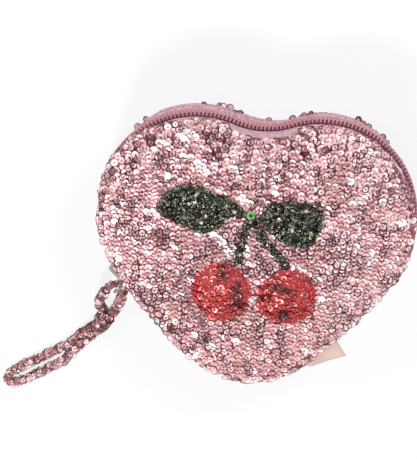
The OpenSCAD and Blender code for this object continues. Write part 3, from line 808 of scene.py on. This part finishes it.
# Bands of cloth: the gusset round the tip and the zip tapes
def band(name, on, line, out, thick, z0, z1, rows, mat, slot, node, bulge=None, bulge_z=0.0):
    """A band of cloth that stands on a line, with both its faces. Its edge at bulge_z
    follows a seam that stands out by bulge."""
    nrm = outward(line)
    layers = []
    for off in (out, out - thick):
        for z in np.linspace(z0, z1, rows):
            w = 0.0
            if bulge:
                w = bulge(line[:, 0], line[:, 1]) * max(0, 1 - abs(z - bulge_z) / 8) ** 1.5
            moved = line + nrm * np.broadcast_to(off + w, len(line))[:, None]
            layers.append(np.column_stack([moved, np.full(len(line), z)]))
    n = len(line)
    m = rows * n
    f = grid_faces(rows, n)
    f += other_side(f, m)
    for i in range(n - 1):
        f.append((i + 1, i, m + i, m + i + 1))
        j = (rows - 1) * n + i
        f.append((j, j + 1, m + j + 1, m + j))
    for a in range(0, (rows - 1) * n, n):
        f.append((a, a + n, m + a + n, m + a))
        b = a + n - 1
        f.append((b + n, b, m + b, m + b + n))
    piece(name, (np.vstack(layers), f), mat, slot, on, node)


gusset_from = math.degrees(math.asin(
    (LOBE_Y - DIVE_REACH * math.sin(math.radians(DIVE)) - SIDE_C[1]) / SIDE_R))
tip_half = np.vstack([
    arc_points(SIDE_C, SIDE_R, gusset_from, SIDE_TO),
    arc_points(TIP_C, TIP_R, SIDE_TO, -90),
    [[0, TIP_Y - TIP_R]]])
tip_line = even(np.vstack([tip_half, mirror_x(tip_half)[1:]]), 140)
band("gusset_cloth", "purse", tip_line, 0.0, 1.2, BACK_RIM, GUSSET_TOP, 10, base_cloth,
     "pink_sequins", "gusset_lower")
band("gusset_lining_cloth", "purse", tip_line, -1.4, 0.4, BACK_RIM, GUSSET_TOP, 6,
     lining_cloth, "lining", "gusset_lining")


def gusset_sequins():
    """Sequins strewn over the gusset, in clusters of tone."""
    tries = 20000
    at = rng.uniform(0, len(tip_line) - 1.001, tries)
    k = at.astype(int)
    w = (at - k)[:, None]
    p = tip_line[k] * (1 - w) + tip_line[k + 1] * w
    z = rng.uniform(BACK_RIM + 0.6, GUSSET_TOP - 0.6, tries)
    got = scatter(np.column_stack([p, z, outward(tip_line)[k], np.zeros(tries)]), 1.75)
    pts, nrm, n = got[:, :3], got[:, 3:], len(got)
    cloud = clouds(pts, 0.13, 75.0) + 0.6 * clouds(pts, 0.35, 81.0)
    tone = np.clip(0.55 + 0.35 * cloud + rng.normal(0, 0.16, n), 0, 0.97)
    dark = np.clip(0.6 - 0.6 * cloud + rng.normal(0, 0.18, n), 0.25, 1)
    sow("gusset_sequins", "purse", pts, nrm, SEQUIN_R, 0.4, math.radians(9), tone, dark,
        (0.2, 0.6), math.radians(10), STRAIGHT_UP)


gusset_sequins()
tape_line = zip_path(0, 420)
band("tape_back", "purse", tape_line, 0.0, 0.7, BACK_RIM, ZIP_Z - 1.3, 12, tape_cloth,
     "zip_tape", "zip_tape_back", flare, BACK_RIM)
band("tape_front", "front", tape_line, 0.0, 0.7, ZIP_Z + 1.3, FRONT_RIM, 8, tape_cloth,
     "zip_tape", "zip_tape_front", front_bulge, FRONT_RIM)


# Linings
def build_lining(name, on, *nodes):
    """A thin cloth that follows a face from within, with both its sides."""
    rings = [1, 0.98, 0.93, 0.85, 0.72, 0.55, 0.35, 0.12]
    n = 120
    rim = heart(0, n)
    vs = []
    for inset in (LINING_GAP, LINING_GAP + LINING_THICK):
        room = CROWN - inset
        for share in rings:
            z = room * swell(share)
            z = FRONT_RIM + z if on == "front" else BACK_RIM - min(z, room - PRESS)
            flat = rim * share * (1 - inset / ((HALF_W + HALF_H) / 2))
            vs.append(np.column_stack([flat, np.full(n, z)]))
    m = len(rings) * n
    shell = grid_faces(len(rings), n, True)
    caps = [tuple(range(m - n, m)), tuple(range(2 * m - 1, 2 * m - n - 1, -1))]
    f = shell + other_side(shell, m) + ring_wall(0, m, n) + caps
    piece(name, (np.vstack(vs), f), lining_cloth, "lining", on, *nodes)


build_lining("front_lining", "front", "front_lining_lower", "front_lining_upper")
build_lining("back_lining_cloth", "purse", "back_lining")

# CAD solids that stay, with their looks
for mat, nodes in ((coil_nylon, ["zip_coil_back", "zip_coil_front"]),
                   (nickel, ["zip_top_stop_back", "zip_top_stop_front", "zip_bottom_stop",
                             "slider_body", "slider_bridge", "jump_ring"])):
    for node in nodes:
        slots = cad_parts[node].data.materials
        slots.clear()
        slots.append(mat)


# Filler cords that the coil's two rows are wound on
def filler(name, on, low, high):
    """A flat cord under one row of teeth, from low to high beside the zip's middle."""
    line = even(zip_path(1.0, 900)[30:-22], 420)
    out = outward(line)
    profile = [(-0.6, low), (0.0, low), (0.26, low + 0.5), (0.3, (low + high) / 2),
               (0.26, high - 0.5), (0.0, high), (-0.6, high)]
    vs = [np.column_stack([line + out * off, np.full(len(line), ZIP_Z + z)]) for off, z in profile]
    f = [q[::-1] for q in grid_faces(len(profile), len(line))]
    piece(name, (np.concatenate(vs), f), filler_cord, "zip_coil", on)


filler("coil_filler_back", "purse", -2.55, -0.12)
filler("coil_filler_front", "front", 0.12, 2.55)

# Stitches over the coil
TOOTH_STEP = 1.5
coil_line = zip_path(1.85, 900)
coil_out = outward(coil_line)
coil_run = run_lengths(coil_line)


def on_coil(s, off, z):
    """A point s along the coil and off its surface, which bows in near the zip's ends."""
    k = min(int(np.searchsorted(coil_run, s)), len(coil_out) - 1)
    x, y = (np.interp(s, coil_run, coil_line[:, c]) for c in (0, 1))
    off -= 0.6 * ramp(abs(x) - 44, 8)
    return np.array([x + coil_out[k, 0] * off, y + coil_out[k, 1] * off, ZIP_Z + z])


def stitches(name, on, side):
    """A slanting, pointed stitch over each tooth."""
    arch = [(-0.95, -0.3, 0.2), (-0.6, 0.05, 0.38), (0.0, 0.16, 0.44), (0.6, 0.05, 0.38),
            (0.95, -0.3, 0.2)]
    parts = []
    for s in np.arange(5.5, coil_run[-1] - 5, TOOTH_STEP):
        path = [on_coil(s + 0.6 * u, h - 0.3, side * 1.25 - 0.95 * u) for u, h, _ in arch]
        parts.append(tube_mesh(path, [r for _, _, r in arch], 7))
    piece(name, merge(parts), thread, "zip_coil", on)


stitches("stitches_back", "purse", -1)
stitches("stitches_front", "front", 1)


# The cherries and leaves
def motif_place(q, rise):
    """Points on the plain front and their normals, for level points q."""
    x, y = q[:, 0], q[:, 1]
    return np.column_stack([q, face_z(True, x, y) + rise]), face_normals(True, x, y, 0.3)


def patch(name, outline, rise, mat, slot, node):
    """A low padded shape on the front, inside an outline."""
    c = outline.mean(axis=0)
    vs = []
    for share in (1, 0.94, 0.82, 0.65, 0.45, 0.22):
        q = c + (outline - c) * share
        vs.append(np.column_stack([q, face_z(True, q[:, 0], q[:, 1]) + 0.1 + rise * swell(share)]))
    n, m = len(outline), len(vs) * len(outline)
    top = np.array([[*c, face_z(True, c[:1], c[1:])[0] + rise]])
    v = np.vstack([*vs, top])
    f = grid_faces(len(vs), n, True) + [(m - n + i, m - n + (i + 1) % n, m) for i in range(n)]
    f += other_side(f, m + 1) + ring_wall(0, m + 1, n)
    piece(name, (np.vstack([v, v - [0, 0, 0.5]]), f), mat, slot, "front", node)


def brickwork(rows, steps, row_gap, step_gap, a):
    """Places in straight rows turned by an angle, every other row set half a step on."""
    row, step = np.meshgrid(np.arange(-rows, rows + 1), np.arange(-steps, steps + 1), indexing="ij")
    p = np.column_stack([row.ravel() * row_gap, (step + 0.5 * (row % 2)).ravel() * step_gap])
    return p @ np.array([[math.cos(a), math.sin(a)], [-math.sin(a), math.cos(a)]])


def bead(place, normal):
    """A small bead that holds a sequin, standing on its hole."""
    u = unit(np.cross([normal], [0, 1, 0]))[0]
    v = lathe(6, [(0.24, 0.0), (0.43, 0.12), (0.4, 0.3), (0.14, 0.44)])
    v = place + normal * 0.55 + v @ [u, np.cross(normal, u), normal]
    return v, grid_faces(4, 6, True) + [tuple(range(5, -1, -1)), tuple(range(18, 24))]


# Where folded sequins gather in each cherry, from its middle
FOLDS = {"left": ((0.5, 6.5), (6.0, 1.5), (6.5, -4.0)),
         "right": ((-5.2, 3.4), (1.6, 2.2), (-0.5, -5.5), (-8.5, -1.0))}
CHERRY_RISE, RING_COUNT, RING_INSET, ROWS_INSET = 0.9, 27, 1.3, 2.4


def cherry(s, side):
    """A round patch with rows of sequins and a ring round them, some folded over.
    It gives back the beads."""
    c = np.array([CHERRY_X + s * CHERRY_DX, CHERRY_Y])
    outline = c + CHERRY_R * circle(np.linspace(0, 2 * np.pi, 64, endpoint=False))
    patch(f"cherry_{side}_cloth", outline, CHERRY_RISE, red_cloth, "red_sequins", f"cherry_{side}")
    pts = c + brickwork(6, 7, 2.3, 2.35, 0.25 * s)
    pts += rng.normal(0, 0.2, pts.shape)
    pts = pts[np.hypot(*(pts - c).T) < CHERRY_R - ROWS_INSET]
    ring = c + (CHERRY_R - RING_INSET) * circle(np.arange(RING_COUNT) * 2 * np.pi / RING_COUNT)
    pts = np.vstack([pts, ring + rng.normal(0, 0.15, ring.shape)])
    n = len(pts)
    p3, nrm = motif_place(pts, CHERRY_RISE * swell(np.hypot(*(pts - c).T) / CHERRY_R))
    nrm[:, :2] += (pts - c) / CHERRY_R * 0.25
    fold = sum(np.exp(-np.sum(((pts - c - q) / [2.6, 2.0]) ** 2, axis=1)) for q in FOLDS[side])
    fold = fold + rng.normal(0, 0.18, n) > 0.52
    # Folded sequins are painted in shade, the others in lit tones
    shaded = rng.uniform(0.0, 0.35, n)
    lit = np.clip(0.72 + 0.4 * clouds(p3, 0.2, 2 + s) + rng.normal(0, 0.12, n), 0.3, 1)
    dark = np.where(fold, 1.0, rng.uniform(0.3, 0.7, n))
    sow(f"cherry_{side}_sequins", "front", p3, nrm, 1.72, np.where(fold, 0.5, 0.14),
        np.where(fold, 0.3, 0.07), np.where(fold, shaded, lit), dark, (0.2, 0.4),
        math.radians(-7), wide=fold, mat=red_sequins, slot="red_sequins")
    return [bead(q, nn) for q, nn in zip(p3, nrm)]


beads = cherry(-1, "left") + cherry(1, "right")
piece("cherry_beads", merge(beads), knot_bead, "red_sequins", "front")


def leaf(side, outline, angle, painted_glint_share):
    """A leaf-shaped patch with small sequins in rows at an angle, a share of them painted
    bright as glints, and a paler edge."""
    patch(f"leaf_{side}_cloth", outline, 0.6, green_cloth, "green_sequins", f"leaf_{side}")
    a = math.radians(angle)
    mid = outline.mean(axis=0)
    q = mid + brickwork(20, 25, 1.36, 1.12, a)
    q += rng.normal(0, 0.16, q.shape)
    q = q[inside(mid + (outline - mid) * 0.95, q[:, 0], q[:, 1])]
    middle = len(q)
    edge = mid + (outline - mid) * 0.97
    edge = even(np.vstack([edge, edge[:1]]), int(len(outline) * 1.5))
    p3, nrm = motif_place(np.vstack([q, edge + rng.normal(0, 0.15, edge.shape)]), 0.55)
    n = len(p3)
    tone = np.clip(rng.beta(1.3, 2.4, n) + 0.25 * clouds(p3, 0.3, 1), 0, 0.9)
    # A share of the sequins is painted bright: painted glints
    tone = np.where(rng.random(n) < painted_glint_share, rng.uniform(0.8, 1.0, n), tone)
    tone[middle:] = np.where(tone[middle:] > 0.85, tone[middle:],
                             rng.uniform(0.6, 0.82, n - middle))
    sow(f"leaf_{side}_sequins", "front", p3, nrm, 0.85, 0.34, math.radians(16), tone,
        rng.uniform(0.1, 0.9, n), (0.15, 0.6), math.radians(18),
        [-math.sin(a), math.cos(a), 0.0], mat=green_sequins, slot="green_sequins")


leaf("left", LEAF_L, 38, 0.08)
leaf("right", LEAF_R, 62, 0.115)

STEM_L = np.array([(-2.6, 17.2), (-3.7, 14.6), (-4.2, 12.3), (-4.9, 7.7), (-6.0, 2.0), (-6.3, -2.2)])
STEM_R = np.array([(-2.4, 17.2), (-1.2, 15.6), (0.8, 11.4), (4.2, 6.8), (7.9, 2.9), (10.8, -0.5),
                   (12.2, -2.2)])


def stem(side, line):
    """A thread with small sequins on both sides of it."""
    p = even(line, 60)
    t = tangents(p)
    q = np.array([p[i] + np.array([-t[i, 1], t[i, 0]]) * (half + rng.normal(0, 0.2))
                  for i in range(0, 60, 2) for half in (-0.65, 0.65)])
    p3, nrm = motif_place(q, 0.55)
    n = len(p3)
    # Some sequins are painted bright: painted glints
    tone = np.where(rng.random(n) < 0.12, rng.uniform(0.8, 1.0, n), rng.uniform(0.0, 0.75, n))
    sow(f"stem_{side}_sequins", "front", p3, nrm, 0.9, 0.3, math.radians(20), tone,
        np.full(n, 0.8), (0.1, 0.7), mat=green_sequins, slot="green_sequins")
    piece(f"stem_{side}_thread", tube_mesh(motif_place(p, 0.35)[0], 0.42), green_cloth,
          "green_sequins", "front", f"stem_{side}")


stem("left", STEM_L)
stem("right", STEM_R)

# The large faceted sequin at the top of the stems, and the knot that holds it
bead_x, bead_y = HALF_W * -0.044, HALF_H * 0.35
BEAD_FOOT = [bead_x, bead_y, float(face_z(True, np.array([bead_x]), bead_y)[0]) + 0.9]


def stem_bead(n=14):
    profile = [(0.66, 0.0), (0.66, 0.55), (1.0, 0.72), (1.55, 0.5), (1.75, 0.15), (1.4, -0.1)]
    last = (len(profile) - 1) * n
    f = grid_faces(len(profile), n, True)
    f += [(last + i, last + (i + 1) % n, (i + 1) % n, i) for i in range(n)]
    piece("stem_bead", (lathe(n, profile, 0.2) + BEAD_FOOT, f), glass_bead,
          "light_green_sequin", "front", "stem_sequin", smooth=False)


def stem_knot(n=10):
    profile = [(0.4, 0.5), (0.6, 0.25), (0.6, -0.2)]
    v = np.vstack([(0, 0, 0.62), lathe(n, profile)]) + BEAD_FOOT
    f = [(0, 1 + i, 1 + (i + 1) % n) for i in range(n)]
    f += [tuple(1 + i for i in q) for q in grid_faces(len(profile), n, True)]
    f.append(tuple(range(len(profile) * n, (len(profile) - 1) * n, -1)))
    piece("stem_bead_knot", (v, f), green_cloth, "green_sequins", "front")


stem_bead()
stem_knot()

# Label, a folded ribbon whose root is sewn into the gusset's top
LABEL_ROOT = np.array([(20.4, -40.6), (32.4, -31.0)])
LABEL_EDGE = np.array([(23.6, -43.4), (37.2, -37.9)])
LABEL_GAP = 0.26


def label():
    """The ribbon's two layers meet at its edge, and it waves a little."""
    rows, cols = 30, 15
    vs = []
    for j, i in itertools.product(range(rows), range(2 * cols)):
        u = j / (rows - 1)
        w = (i if i < cols else 2 * cols - 1 - i) / (cols - 1)
        root, edge = (line[0] * (1 - u) + line[1] * u for line in (LABEL_ROOT, LABEL_EDGE))
        gap = LABEL_GAP if i < cols else 0.0
        wave = 0.35 * math.sin(u * 7.7 + 0.6) * w ** 1.5
        z = GUSSET_TOP - 0.6 + gap * (1 - 0.85 * w ** 8) + wave - 0.5 * w ** 2
        vs.append((*(root * (1 - w) + edge * w), z))
    n = 2 * cols
    caps = [tuple(range(n - 1, -1, -1)), tuple(range((rows - 1) * n, rows * n))]
    piece("label_ribbon", (vs, grid_faces(rows, n, True) + caps), label_cloth, "label",
          "purse", "care_label")


label()

# Strap, along its route in the photograph
EYE = np.array([
    [-55.5, -37.3, 3.3], [-54.9, -36, 3.3], [-53.6, -34.2, 4.6], [-52.3, -31.8, 7],
    [-51.3, -29, 9.4], [-50.6, -26, 11.6], [-50.2, -22.9, 13.6], [-50.2, -21.2, 14.4],
    [-51.6, -20.2, 14.8], [-53.2, -20.2, 14.4], [-54.4, -21, 13.6], [-56.6, -23.6, 11.8],
    [-58.6, -26.6, 9.6], [-59.6, -29.8, 7], [-59.2, -32.8, 4.6], [-58.3, -33.9, 3.8],
    [-57.6, -35, 3.3], [-58.1, -36.1, 3.3]])
LOOP = np.array([
    [-59.7, -39.5, 3.3], [-60.3, -40.8, 3.3], [-63.3, -43.1, 2], [-67.2, -46.2, 1.4],
    [-71, -50.2, 1.4], [-76, -53.2, 1.4], [-81, -56.2, 1.4], [-86, -59, 1.4], [-91, -61.9, 1.4],
    [-93.9, -64.1, 1.4], [-95.4, -66.2, 1.4], [-94.8, -68.2, 1.4], [-92.2, -68.4, 1.4],
    [-88, -66.5, 1.4], [-83, -63.8, 1.4], [-78, -60.7, 1.4], [-73, -57.3, 1.4],
    [-68.9, -52.5, 1.4], [-64.6, -48.2, 1.4], [-61, -44.5, 2], [-57.7, -42, 3.3],
    [-57.1, -40.7, 3.3]])
CORD_R = 1.3
EYE_CORD_R = 1.2  # the same cord, drawn tight round the ring
STRANDS, TWIST = 3, 4.2
SEQUIN_TURN = 2.4  # radians about the cord, from one sequin to the next
RING_SIDE_Z = 12.3
RING_MIDDLE = np.array([-52.2, -24.0, 12.5])


def smooth_path(p, n):
    """A smooth open line through the points, with even steps."""
    q = through(np.vstack([2 * p[0] - p[1], p, 2 * p[-1] - p[-2]]), 12)
    return even(np.array([*q, p[-1]]), n)


def twisted(path, radius):
    """Strands wound round a path."""
    n, b = across(tangents(path))
    parts = []
    for k in range(STRANDS):
        a = 2 * np.pi * (run_lengths(path) / TWIST + k / STRANDS)
        q = path + radius * 0.5 * (np.cos(a)[:, None] * n + np.sin(a)[:, None] * b)
        parts.append(tube_mesh(q, radius * 0.52, 6))
    return merge(parts)


def strap_cord(name, route, n, radius, node):
    """A sequined cord along a route: its piece, its sequins, its path and its length."""
    path = smooth_path(route, n)
    ob = piece(name, twisted(path, radius), cord_cloth, "pink_cord", "strap", node)
    length = float(run_lengths(path)[-1])
    count = int(length / 1.5) * 7
    s = np.linspace(0.0, 1.0, count) * (n - 1)
    k = np.clip(s.astype(int), 0, n - 2)
    at = path[k] + (path[k + 1] - path[k]) * (s - k)[:, None]
    t = tangents(path)[k]
    side, above = across(t)
    ang = np.arange(count) * SEQUIN_TURN + rng.normal(0, 0.3, count)
    out = np.cos(ang)[:, None] * side + np.sin(ang)[:, None] * above
    centre = at + out * rng.uniform(0.8, 1.25, count)[:, None]
    by_ring = (at[:, 2] > RING_SIDE_Z) & (np.sum(out * (RING_MIDDLE - at), axis=1) > -1.0)
    t, out, centre = t[~by_ring], out[~by_ring], centre[~by_ring]
    count = len(centre)
    centre[:, 2] = np.maximum(centre[:, 2], 0.5)
    nrm = out * 0.9 + t * rng.normal(0, 0.45, count)[:, None] + rng.normal(0, 0.25, (count, 3))
    tone = np.clip(rng.normal(0.66, 0.24, count), 0, 1)
    sequins = sow(name.replace("_cord", "_sequins"), "strap", centre, nrm, 1.26, 0.35, 0.25,
                  tone, rng.uniform(0.6, 1, count), (0, 0.25), wide=rng.random(count) < 0.35,
                  slot="pink_cord")
    return ob, sequins, path, length


loop = strap_cord("strap_loop_cord", LOOP, 260, CORD_R, "strap_cord")
eye = strap_cord("strap_eye_cord", EYE, 130, EYE_CORD_R, "strap_eye")

# Binding: turns of thread round the neck, with sequins over its top
BINDING_C, BINDING_ANGLE, TURNS = np.array([-57.6, -38.4, 3.3]), math.radians(245), 7
neck_axis = np.array([math.cos(BINDING_ANGLE), math.sin(BINDING_ANGLE), 0])
neck_side = np.array([-neck_axis[1], neck_axis[0], 0])


def round_neck(along, angle, half_width, half_height):
    """Points on the neck's oval."""
    return (BINDING_C + neck_axis * along[:, None]
            + neck_side * (half_width * np.cos(angle))[:, None]
            + STRAIGHT_UP * (half_height * np.sin(angle))[:, None])


def bind_neck():
    """The thread and the sequins over it."""
    s = np.linspace(0, 1, 150)
    coil = round_neck((s - 0.5) * 3.2, 2 * np.pi * TURNS * s, 2.75, 1.75)
    n = 44
    angle = rng.uniform(-0.5, math.pi + 0.5, n)
    centre = round_neck(rng.uniform(-1.7, 1.7, n), angle, 2.7, 1.8)
    out = neck_side * np.cos(angle)[:, None] + STRAIGHT_UP * np.sin(angle)[:, None]
    wrap = sow("binding_sequins", "strap", centre, out + rng.normal(0, 0.3, (n, 3)), 1.36,
               0.35, 0.2, np.clip(rng.normal(0.6, 0.22, n), 0, 0.97), rng.uniform(0.7, 1, n),
               (0, 0.3), wide=rng.random(n) < 0.4, slot="pink_cord")
    return [piece("strap_binding_thread", tube_mesh(coil, 0.3, 6), cord_cloth, "pink_cord",
                  "strap", "strap_binding"), wrap]


for (cord, sequins, path, length), more in ((loop, bind_neck()), (eye, [])):
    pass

# Floor and world
FLOOR_WHITE, WORLD_LIGHT = 0.8, 0.4


def floor_material():
    """Pale, and mostly plain white to the camera, with the purse's shadow left in it."""
    m = Nodes(bpy.data.materials.new("floor"))
    m.surface((0.93, 0.93, 0.93), 0.95, Specular_IOR_Level=0.0)
    by_camera = m.add("ShaderNodeLightPath").outputs["Is Camera Ray"]
    mixed = m.add("ShaderNodeMixShader")
    m.link(m.math("MULTIPLY", by_camera, FLOOR_WHITE), mixed.inputs["Fac"])
    m.link(m.tree.nodes["Principled BSDF"].outputs["BSDF"], mixed.inputs[1])
    m.link(m.add("ShaderNodeEmission").outputs["Emission"], mixed.inputs[2])
    m.link(mixed.outputs["Shader"], m.tree.nodes["Material Output"].inputs["Surface"])
    return m.owner


def white_world():
    """White where it is seen or mirrored, and dimmer as a light."""
    w = Nodes(bpy.data.worlds.new("world"))
    background = w.tree.nodes["Background"]
    background.inputs["Color"].default_value = (1, 1, 1, 1)
    ray = w.add("ShaderNodeLightPath").outputs
    seen = w.math("MAXIMUM", ray["Is Camera Ray"], ray["Is Glossy Ray"])
    seen = w.math("MAXIMUM", seen, ray["Is Transmission Ray"])
    strength = w.add("ShaderNodeMapRange", To_Min=WORLD_LIGHT, To_Max=1.0)
    w.link(seen, strength.inputs["Value"])
    w.link(strength.outputs["Result"], background.inputs["Strength"])
    return w.owner


bpy.ops.mesh.primitive_plane_add(size=3, location=(0, 0, 0))
floor = bpy.context.object
floor.name = "floor"
floor.data.materials.append(floor_material())
scene.world = white_world()


# Lamps
def lamp(name, place, size, power):
    """A round lamp that faces the middle of the purse."""
    data = bpy.data.lights.new(name, "AREA")
    data.shape = "DISK"
    data.size = size
    data.energy = power
    ob = bpy.data.objects.new(name, data)
    scene.collection.objects.link(ob)
    ob.location = place
    aim = Vector((0, 0, 0.02)) - Vector(place)
    ob.rotation_euler = aim.to_track_quat("-Z", "Y").to_euler()


lamp("key", (-0.2, -0.5, 0.62), 0.12, 3.6)
lamp("fill", (0.3, 0.5, 0.6), 0.2, 2.4)
lamp("side", (-0.6, 0.2, 0.5), 0.2, 1.0)
